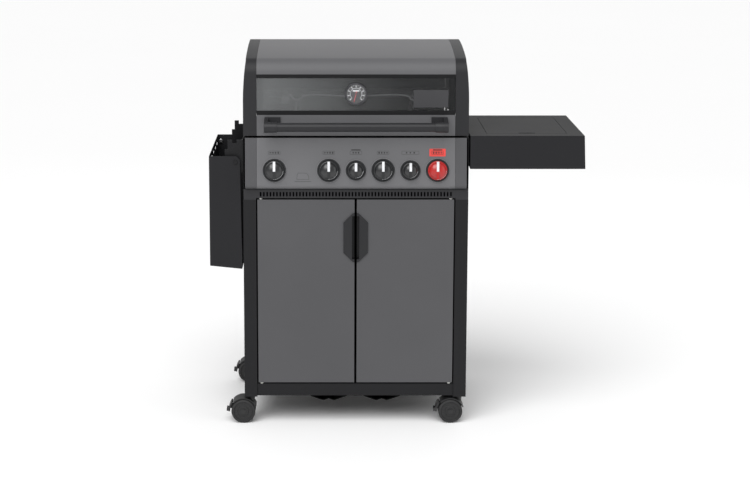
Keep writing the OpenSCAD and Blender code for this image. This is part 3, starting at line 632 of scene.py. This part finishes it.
def slab(name, outline, thick, place, material, edge=0.0):
    """Gives a flat outline in X and Y a thickness along +Z."""
    bm = bmesh.new()
    face = bm.faces.new([bm.verts.new((x, y, 0)) for x, y in outline])
    grown = bmesh.ops.extrude_face_region(bm, geom=[face])["geom"]
    top = [v for v in grown if isinstance(v, bmesh.types.BMVert)]
    bmesh.ops.translate(bm, verts=top, vec=(0, 0, thick))
    if edge:
        rim = [e for e in bm.edges if all(v in top for v in e.verts)]
        bmesh.ops.bevel(bm, geom=rim, offset=edge, segments=2, affect="EDGES")
    bm.transform(place)
    return mesh_piece(name, bm, material)


def rounded(width, height, radius, steps=5):
    """Corner points of a rectangle with round corners, about its centre."""
    points = []
    for k, (sx, sy) in enumerate(((1, 1), (-1, 1), (-1, -1), (1, -1))):
        cx, cy = sx * (width / 2 - radius), sy * (height / 2 - radius)
        for s in range(steps + 1):
            a = math.radians(90 * k + 90 * s / steps)
            points.append((cx + radius * math.cos(a), cy + radius * math.sin(a)))
    return points


def join(name, objs):
    """Joins several pieces with their materials into one."""
    for o in bpy.context.selected_objects:
        o.select_set(False)
    for o in objs:
        o.select_set(True)
    bpy.context.view_layer.objects.active = objs[0]
    bpy.ops.object.join()
    objs[0].name = name
    return objs[0]


FACING_FRONT = Matrix.Rotation(math.radians(90), 4, "X")
print("makers ready")

# %% [markdown]
# ## The control panel's own frame
# The panel leans back by a few degrees, so its marks and knobs share one matrix: X runs across, Y
# up the face, and Z out towards the cook. The lean and the height come from the knob joints.

# %% Panel frame
PUSH = {j["name"]: j for j in frame["joints"]}
KNOB_OUT = Vector(PUSH["knob_1_turn"]["axis"]).normalized()
KNOB_AT = [Vector(PUSH[f"knob_{i}_turn"]["pos_m"]) for i in range(1, 7)]
FACE_UP = KNOB_OUT.cross(Vector((1, 0, 0)))


def on_panel(x, up=0.0, out=0.0):
    """A matrix on the panel's face, measured from the row of knob axes."""
    origin = Vector((x, KNOB_AT[0].y, KNOB_AT[0].z)) + FACE_UP * up + KNOB_OUT * out
    axes = Matrix((Vector((1, 0, 0)), FACE_UP, KNOB_OUT)).transposed().to_4x4()
    return Matrix.Translation(origin) @ axes


KNOB_X = [p.x for p in KNOB_AT]
KNOB_SIZE = [(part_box(f"knob_{i}")[1].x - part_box(f"knob_{i}")[0].x) / 2 for i in range(1, 7)]
print("knob radii", [round(r, 4) for r in KNOB_SIZE])

# %% [markdown]
# ## Knobs
# A knob is a satin dome with a grip bar across it. A bright inlay runs along the upper half of the
# bar and down to the rim, and points at the setting. White dots run round the lower right of the
# skirt. The dome is turned on a lathe, and the bar is a slab with bevelled edges.

# %% Knobs and bezels
KNOB_GAP = 0.007
RED_KNOB = 5
POINTER_WIDE = 0.0074


def knob(i):
    """Dome, hollow back, grip, bright pointer down to the rim, and the row of dots."""
    r, x = KNOB_SIZE[i], KNOB_X[i]
    coat = KNOB_RED if i == RED_KNOB else KNOB_BLACK
    base = KNOB_GAP
    skirt = [(r - 0.006, base), (r - 0.0008, base), (r, base + 0.0008), (r, base + 0.0035),
             (r - 0.001, base + 0.0048)]
    dome = [((r - 0.003) * math.cos(a), base + 0.0052 + 0.0135 * math.sin(a))
            for a in [math.radians(d) for d in range(0, 91, 6)]]
    body = lathe("dome", skirt + dome, on_panel(x), coat, 72)
    low = lathe("hollow", [(r - 0.006, base), (r - 0.006, base + 0.004), (0.0, base + 0.004)],
                on_panel(x), coat, 48)
    grip = slab("grip", [(-0.0042, -r * 0.86), (0.0042, -r * 0.86), (0.0038, -r * 0.2),
                         (0.0038, r * 0.9), (-0.0038, r * 0.9), (-0.0038, -r * 0.2)],
                0.0215, on_panel(x, 0, base + 0.0005), coat, 0.0012)
    inlay = slab("inlay", rounded(POINTER_WIDE, r * 1.02, 0.0008), 0.0030,
                 on_panel(x, r * 0.44, base + 0.0200),
                 POINTER, 0.0003)
    toe = slab("toe", rounded(POINTER_WIDE, r * 0.06, 0.0004), 0.0195, on_panel(x, r * 0.92, base + 0.0010),
               POINTER, 0.0003)
    dots = grow("dots", WHITE_RING, on_panel(x, 0, base + 0.0045), Count=11, Radius=r - 0.0028,
                Start=-92.0, Step=8.4, Size=(0.0019, 0.0019, 0.0014))
    piece = join(f"knob_{i + 1}_trim", [body, low, grip, inlay, toe, dots])
    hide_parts(f"knob_{i + 1}")
    return riding(piece, f"knob_{i + 1}")


def bezel(i):
    """A dark dished ring with a thin lip where it meets the panel, in a light grey that paints the highlight on
    its edge.
    """
    r, x = KNOB_SIZE[i] + 0.0065, KNOB_X[i]
    ring = [(r - 0.005, 0.003), (r - 0.0046, 0.0052), (r - 0.0035, 0.0062), (r - 0.002, 0.0062),
            (r - 0.0006, 0.005), (r, 0.003), (r, 0.0), (0.0065, 0.0), (0.0065, 0.003), (r - 0.005, 0.003)]
    lip = [(r, 0.0), (r + 0.0009, 0.0), (r + 0.0009, 0.0008), (r, 0.0016)]
    return join("bezel", [lathe("ring", ring, on_panel(x), BEZEL_BLACK, 72),
                          lathe("lip", lip, on_panel(x), RIM_PAINTED_HIGHLIGHT, 72)])


for i in range(6):
    knob(i)
rings = join("knob_bezel_rings", [bezel(i) for i in range(6)])
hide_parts("knob_bezels")
riding(rings, "cart")
print("knobs and bezels made")

# %% [markdown]
# ## Printed marks
# Over each knob is a short strip of setting marks in a thin outline. These are plain blocks that
# name nothing. The searing burner's strip is a red plate. An embossed hood fills the one place without a
# knob; its raised face keeps the panel's grey, and a darker grey round its edge and a line under it paint
# the shade of the emboss. Each printed mark stands 0.15 mm proud, as screen print does.

# %% Setting strips
INK = 0.00015


def outline(name, width, height, radius, line, place, material):
    """A thin rounded frame."""
    outer = rounded(width, height, radius)
    inner = rounded(width - 2 * line, height - 2 * line, radius - line)
    bm = bmesh.new()
    loops = [[bm.verts.new((x, y, z)) for x, y in ring] for ring, z in
             ((outer, 0), (outer, INK), (inner, INK), (inner, 0))]
    for a, b in zip(loops, loops[1:] + loops[:1]):
        for k in range(len(a)):
            bm.faces.new([a[k], a[(k + 1) % len(a)], b[(k + 1) % len(a)], b[k]])
    bm.transform(place)
    return mesh_piece(name, bm, material)


def strip(i):
    big = i in (0, 1, 3, 5)
    width, up = (0.036, 0.053) if i != 4 else (0.052, 0.053)
    x, marks = KNOB_X[i], []
    ink, out = DARK_PRINT_AND_HOLE_SHADE, 0.0
    if i == RED_KNOB:
        marks.append(slab("plate", rounded(0.049, 0.023, 0.002), 0.0006, on_panel(x, 0.0535),
                          RED_PRINT, 0.0002))
        out = 0.0006
    marks.append(outline("frame", width, 0.0105, 0.002, 0.0007, on_panel(x, up, out), ink))
    for k, share in enumerate((0.34, 0.6, 0.8, 1.0) if big else (0.5, 0.5, 0.7)):
        size = 0.0026 + 0.0038 * share
        at = x + (k - (1.5 if big else 1.0)) * width * 0.22 * (-1 if i in (3, 5) else 1)
        marks.append(slab("mark", rounded(0.0042, size * 0.9, 0.0009), INK, on_panel(at, up, out), ink))
    if i in (2, 5):
        marks.append(slab("bar", rounded(0.028, 0.003, 0.0008), INK, on_panel(x, up + 0.0085, out), ink))
    return marks


# %% The embossed hood, with painted shade round its edge
HOOD_UP = -0.018
hood_mark = [(-0.0190, -0.010), (0.0190, -0.010), (0.0178, 0.001), (0.0135, 0.008), (0.006, 0.0105),
             (-0.014, 0.0105), (-0.0178, 0.006)]
hood_inside = [(x * 0.92, y * 0.88) for x, y in hood_mark]
EMPTY_X = (KNOB_X[0] + KNOB_X[1]) / 2 + 0.004
marks = [m for i in range(6) for m in strip(i)]
# The darker outline and the line under it are painted shade round the embossed hood; its raised face keeps the
# panel's grey.
marks.append(slab("hood_mark", hood_mark, 0.0003, on_panel(EMPTY_X, HOOD_UP), END_GREY_AND_EMBOSS_SHADE, 0.0001))
marks.append(slab("hood_inside", hood_inside, 0.0005, on_panel(EMPTY_X, HOOD_UP), PANEL_GREY, 0.0001))
marks.append(slab("hood_line", rounded(0.050, 0.0016, 0.0006), 0.0003,
                  on_panel(EMPTY_X, HOOD_UP - 0.0155), END_GREY_AND_EMBOSS_SHADE))
riding(join("panel_print", marks), "cart")
print("marks", len(marks))

# %% [markdown]
# ## Thermometer
# The dial sits in a dark chrome case in the middle of the window. Its black face carries white marks on
# two thirds of a circle and a small white plate, under a thin lens. The needle is the frame's own,
# so it still turns.

# %% Dial
DIAL_LOW, DIAL_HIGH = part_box("thermometer")
DIAL = Vector((0, DIAL_LOW.y, (DIAL_LOW.z + DIAL_HIGH.z) / 2))


def on_dial(out):
    """A matrix whose Z points at the cook, out metres in front of the case's rim."""
    return Matrix.Translation(DIAL - Vector((0, out, 0))) @ FACING_FRONT


face = [lathe("face", [(0.029, -0.0039), (0.0, -0.0039)], on_dial(0.0), DIAL_BLACK)]
face.append(grow("long_ticks", WHITE_RING, on_dial(-0.0037), Count=9, Radius=0.0225,
                 Start=-45.0, Step=33.75, Size=(0.0055, 0.0021, 0.0003)))
face.append(grow("short_ticks", WHITE_RING, on_dial(-0.0037), Count=33, Radius=0.0262,
                 Start=-45.0, Step=8.4375, Size=(0.0024, 0.0006, 0.0003)))
face.append(grow("inner_arc", WHITE_RING, on_dial(-0.0037), Count=46, Radius=0.0175,
                 Start=-45.0, Step=6.0, Size=(0.0011, 0.0017, 0.0003)))
face.append(slab("plate", rounded(0.020, 0.0042, 0.001), 0.0004,
                 Matrix.Translation((0, 0, 0.0095)) @ on_dial(-0.0037), WHITE_PRINT))
riding(join("dial_marks", face), "hood")
rim = lathe("dial_case_ring", [(0.0292, -0.004), (0.0292, 0.0), (0.0300, 0.0), (0.0325, -0.0003),
                               (0.0335, -0.002), (0.0335, -0.009)], on_dial(0.0), DARK_CHROME, 96)
riding(rim, "hood")
lens = lathe("dial_lens", [(0.0291, -0.0012), (0.0291, -0.0006), (0.0, -0.0006), (0.0, -0.0012),
                           (0.0291, -0.0012)], on_dial(0.0), LENS_CLEAR, 64)
riding(lens, "hood")
cap = lathe("needle_cap", [(0.0028, -0.0033), (0.0028, -0.0028), (0.0018, -0.0022), (0.0, -0.0020)],
            on_dial(0.0), SOFT_BLACK, 32)
riding(cap, "needle")
print("dial at", tuple(round(c, 4) for c in DIAL))

# %% [markdown]
# ## Window trims
# A blank dark plate is fixed to the right of the glass, and behind the pane the rack's front wire
# dips at both ends where it hooks over its bracket.

# %% Window plate and rack front
GLASS_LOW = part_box("hood_glass")[0]


def on_glass(x, z, out=0.0):
    """A matrix on the pane's face, whose Z points at the cook."""
    return Matrix.Translation((x, GLASS_LOW.y - out, z)) @ FACING_FRONT


plate = slab("window_plate", rounded(0.104, 0.053, 0.0015), 0.0008, on_glass(0.224, 1.010),
             PLATE_GREY, 0.0002)
riding(plate, "hood")


def wire(name, points, radius, material):
    """A round wire through a list of points, turned into a plain mesh."""
    curve = bpy.data.curves.new(name, "CURVE")
    curve.dimensions = "3D"
    curve.bevel_depth = radius
    curve.bevel_resolution = 3
    spline = curve.splines.new("BEZIER")
    spline.bezier_points.add(len(points) - 1)
    for knot, place in zip(spline.bezier_points, points):
        knot.co = place
        knot.handle_left_type = knot.handle_right_type = "AUTO"
    curve.use_fill_caps = True
    temp = link(bpy.data.objects.new(name, curve))
    mesh = bpy.data.meshes.new_from_object(temp.evaluated_get(bpy.context.evaluated_depsgraph_get()))
    bpy.data.objects.remove(temp)
    mesh.materials.clear()
    mesh.materials.append(material)
    smooth_by_angle(mesh, 40)
    return link(bpy.data.objects.new(name, mesh))


RACK_LOW, RACK_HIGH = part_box("warming_rack")
rack_y, rack_z = RACK_LOW.y - 0.004, RACK_HIGH.z - 0.002
dip = 0.010
rail = [(-0.215, rack_y, rack_z + 0.018), (-0.200, rack_y, rack_z + 0.006), (-0.185, rack_y, rack_z - dip),
        (-0.170, rack_y, rack_z - dip), (-0.160, rack_y, rack_z), (0.0, rack_y, rack_z),
        (0.160, rack_y, rack_z), (0.170, rack_y, rack_z - dip), (0.185, rack_y, rack_z - dip),
        (0.200, rack_y, rack_z + 0.004), (0.270, rack_y, rack_z - dip), (0.288, rack_y, rack_z + 0.012)]
bracket = slab("bracket", [(-0.024, -0.022), (-0.003, -0.022), (0.0, -0.004), (0.0, 0.016),
                           (-0.018, 0.016), (-0.018, 0.006), (-0.024, 0.006)], 0.0015,
               Matrix.Translation((-0.200, rack_y - 0.003, rack_z)) @ FACING_FRONT, STEEL_X, 0.0003)
riding(join("rack_front_rail", [wire("rail", rail, 0.0030, POINTER), bracket]), "cart")
print("rack rail at", round(rack_z, 4))

# %% [markdown]
# ## Screws
# The cabinet's sheets are held by pan heads with a hexagon socket. One head is turned in twelve
# steps, with the socket's rings pulled onto a hexagon, and Geometry Nodes put a copy on every
# point of a small mesh, turned to the direction that the point stores.

# %% Screw heads
def screw_head():
    """A pan head with a hexagon socket, axis along Z, as a hidden template."""
    bm = bmesh.new()
    hexagon = [1.0 if k % 2 == 0 else math.cos(math.radians(30)) for k in range(12)]
    rings = []
    for radius, height, six in ((0.0052, -0.0002, 0), (0.0052, 0.0010, 0), (0.0046, 0.0021, 0),
                                (0.0036, 0.0025, 0), (0.0022, 0.0025, 1), (0.0022, 0.0009, 1)):
        ring = []
        for k in range(12):
            reach = radius * (hexagon[k] if six else 1.0)
            ring.append(bm.verts.new((reach * math.cos(math.radians(30 * k)),
                                      reach * math.sin(math.radians(30 * k)), height)))
        rings.append(ring)
    for low, high in zip(rings, rings[1:]):
        for k in range(12):
            bm.faces.new([low[k], low[(k + 1) % 12], high[(k + 1) % 12], high[k]])
    bm.faces.new(rings[-1])
    bm.faces.new(list(reversed(rings[0])))
    return mesh_piece("screw_template", bm, STEEL_Z, 30)


def fastener_tree(template):
    """A copy of the template on each point, with its axis along the point's own direction."""
    tree = bpy.data.node_groups.new("fasteners", "GeometryNodeTree")
    tree.interface.new_socket("Geometry", in_out="OUTPUT", socket_type="NodeSocketGeometry")
    tree.interface.new_socket("Points", in_out="INPUT", socket_type="NodeSocketGeometry")
    socket(tree, "Scale", "NodeSocketFloat", 1.0)
    add = tree.nodes.new
    given, result = add("NodeGroupInput"), add("NodeGroupOutput")
    shape, stored = add("GeometryNodeObjectInfo"), add("GeometryNodeInputNamedAttribute")
    aim, copies = add("FunctionNodeAlignEulerToVector"), add("GeometryNodeInstanceOnPoints")
    real, finish = add("GeometryNodeRealizeInstances"), add("GeometryNodeSetMaterial")
    shape.inputs["Object"].default_value = template
    stored.data_type = "FLOAT_VECTOR"
    stored.inputs["Name"].default_value = "out"
    aim.axis = "Z"
    finish.inputs["Material"].default_value = STEEL_Z
    tree.links.new(stored.outputs["Attribute"], aim.inputs["Vector"])
    tree.links.new(given.outputs["Points"], copies.inputs["Points"])
    tree.links.new(shape.outputs["Geometry"], copies.inputs["Instance"])
    tree.links.new(aim.outputs[0], copies.inputs["Rotation"])
    tree.links.new(given.outputs["Scale"], copies.inputs["Scale"])
    tree.links.new(copies.outputs[0], real.inputs[0])
    tree.links.new(real.outputs[0], finish.inputs["Geometry"])
    tree.links.new(finish.outputs[0], result.inputs[0])
    return tree


def heads(name, body, spots, scale=1.0):
    """Screw heads at (place, direction) spots on one body."""
    mesh = bpy.data.meshes.new("spots")
    mesh.from_pydata([p for p, _ in spots], [], [])
    out = mesh.attributes.new("out", "FLOAT_VECTOR", "POINT")
    for k, (_, direction) in enumerate(spots):
        out.data[k].vector = direction
    piece = grow(name, FASTENERS, Matrix(), mesh, Scale=scale)
    smooth_by_angle(piece.data, 30)
    return riding(piece, body)


template = screw_head()
FASTENERS = fastener_tree(template)
CAB_LOW, CAB_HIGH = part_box("side_panel_left")
side_x = -CAB_LOW.x
spots = [((x, CAB_HIGH.y, z), (0, 1, 0)) for x in (-0.32, 0.32) for z in (0.12, 0.37, 0.62)]
spots += [((s * side_x, y, z), (s, 0, 0)) for s in (-1, 1) for y in (-0.2, 0, 0.2) for z in (0.11, 0.69)]
spots += [((s * side_x, y, 0.87), (s, 0, 0)) for s in (-1, 1) for y in (-0.19, 0.205)]
cabinet_heads = heads("cabinet_screws", "cart", spots)
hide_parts("screws")
SHELF_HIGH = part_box("folding_shelf")[1]
shelf_pivot = Vector(PUSH["shelf_fold"]["pos_m"])
inside_rear = SHELF_HIGH.y - 0.0057
bolts = [((shelf_pivot.x - 0.070, inside_rear, shelf_pivot.z - 0.003), (0, -1, 0))]
bolts += [((shelf_pivot.x - 0.014, inside_rear, shelf_pivot.z), (0, -1, 0))]
heads("shelf_bolts", "shelf", bolts, 1.5)
print("cabinet screws", len(spots), "shelf bolts", len(bolts))

# %% [markdown]
# ## Hinge bushes and caster trims
# White nylon bushes fill the gaps over and under each door pin, and a near-black sheet behind the vent
# slots paints the shade inside the cabinet. Each caster wheel gets shallow ribs round its tread and a hub cap,
# which are small enough to leave the wheel inside its own size.

# %% Bushes
DOOR_LOW, DOOR_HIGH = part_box("door_right")
door_pin = Vector(PUSH["door_right_hinge"]["pos_m"])
BUSH_GAP, BUSH_TALL = 0.0005, 0.004
bushes = []
for side in (-1, 1):
    for low in (DOOR_LOW.z - BUSH_GAP - BUSH_TALL, DOOR_HIGH.z + BUSH_GAP):
        high = low + BUSH_TALL
        sleeve = [(0.0041, low), (0.0052, low), (0.0052, high), (0.0041, high), (0.0041, low)]
        at = Matrix.Translation((side * door_pin.x, door_pin.y, 0))
        bushes.append(lathe("bush", sleeve, at, BUSH_WHITE, 24))
riding(join("door_bushes", bushes), "cart")
print("bushes", len(bushes))

# %% Painted shade behind the vents
VENT_LOW, VENT_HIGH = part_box("vent_strip")
# A near-black sheet behind the slots: painted shade for the dark inside of the cabinet.
shade_sheet = slab("vent_baffle", rounded(0.588, 0.020, 0.001), 0.001,
              Matrix.Translation((0, VENT_LOW.y + 0.011, (VENT_LOW.z + VENT_HIGH.z) / 2)) @ FACING_FRONT,
              VENT_SHADOW)
riding(shade_sheet, "cart")
print("baffle at", round(VENT_LOW.y + 0.011, 4))

# %% Wheels
def wheel_pair(corner):
    low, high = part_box("caster_wheels_" + corner)
    centre = (low + high) / 2
    radius = (high.z - low.z) / 2
    parts = []
    for side in (-1, 1):
        inner, outer = 0.011, 0.026
        dish = outer - 0.0022
        profile = [(0.0045, inner), (radius - 0.006, inner), (radius - 0.002, inner + 0.0006),
                   (radius - 0.0005, inner + 0.0025), (radius - 0.0003, inner + 0.0045),
                   (radius - 0.0003, outer - 0.0045), (radius - 0.001, outer - 0.002),
                   (radius - 0.004, outer - 0.0003), (radius - 0.008, outer), (radius - 0.0095, dish),
                   (0.017, dish), (0.0155, outer - 0.0004), (0.0045, outer), (0.0045, inner)]
        turn = Matrix.Translation(centre) @ Matrix.Rotation(math.radians(90 * side), 4, "X")
        parts.append(lathe("disc", profile, turn, TYRE, 72, 30))
        parts.append(grow("ribs", RUBBER_RING, turn @ Matrix.Translation((0, 0, 0.0185)), Count=60,
                          Radius=radius - 0.0012, Start=0.0, Step=6.0, Size=(0.0016, 0.0016, 0.008)))
        parts.append(grow("spokes", BLACK_RING, turn @ Matrix.Translation((0, 0, dish)), Count=8,
                          Radius=0.0225, Start=0.0, Step=45.0, Size=(0.0105, 0.003, 0.0016)))
    piece = join("tyres_" + corner, parts)
    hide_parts("caster_wheels_" + corner)
    return riding(piece, "wheels_" + corner)


for corner in ("fl", "fr", "rl", "rr"):
    wheel_pair(corner)
print("wheels done")

# %% [markdown]
# ## Burners
# The side burner's head has a ring of gas ports and a spark pin, and the rear burner shows a tile
# full of small holes. Ports and holes are dark blocks and discs that paint the shade inside them. Both are
# hidden until the lid or the hood is opened.

# %% Side burner ports
BURN_LOW, BURN_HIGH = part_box("side_burner")
burner_at = (BURN_LOW + BURN_HIGH) / 2
head_z = BURN_LOW.z
# The dark blocks round the head paint the shade inside each gas port.
ports = [grow("ports", DARK_RING, Matrix.Translation((burner_at.x, burner_at.y, head_z + 0.0115)), Count=40,
              Radius=0.0458, Start=0.0, Step=9.0, Size=(0.0016, 0.0016, 0.004))]
crown = [(0.0, 0.0245), (0.026, 0.0240), (0.031, 0.0225), (0.0335, 0.0195), (0.0335, 0.0190)]
ports.append(lathe("crown", crown, Matrix.Translation((burner_at.x, burner_at.y, head_z)), BLACK_COAT_AND_SLOT_SHADE))
pin_profile = [(0.0, 0.024), (0.0014, 0.0235), (0.0014, 0.014), (0.004, 0.014), (0.004, 0.0)]
ports.append(lathe("spark_pin", pin_profile,
                   Matrix.Translation((burner_at.x + 0.054, burner_at.y, head_z)), BUSH_WHITE, 24))
riding(join("side_burner_ports", ports), "cart")

# %% Rear burner tile
REAR_LOW, REAR_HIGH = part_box("back_burner")
tile_w, tile_h = 0.350, 0.052
tile = [slab("tile", rounded(tile_w, tile_h, 0.001), 0.002,
             Matrix.Translation((0, REAR_LOW.y + 0.0095, (REAR_LOW.z + REAR_HIGH.z) / 2)) @ FACING_FRONT,
             BUSH_WHITE)]
rows = 9
# Each hole is a flat dark disc just in front of the tile: painted shade for the inside of the hole.
for row in range(rows):
    z = (REAR_LOW.z + REAR_HIGH.z) / 2 - tile_h / 2 + (row + 0.5) * tile_h / rows
    bm = bmesh.new()
    for k in range(58):
        bmesh.ops.create_circle(bm, cap_ends=True, segments=6, radius=0.0016,
                                matrix=Matrix.Translation((-0.171 + k * 0.006, REAR_LOW.y + 0.0073, z))
                                @ FACING_FRONT)
    tile.append(mesh_piece("holes", bm, DARK_PRINT_AND_HOLE_SHADE))
riding(join("rear_burner_tile", tile), "cart")
bpy.data.objects.remove(template)
print("burners detailed")
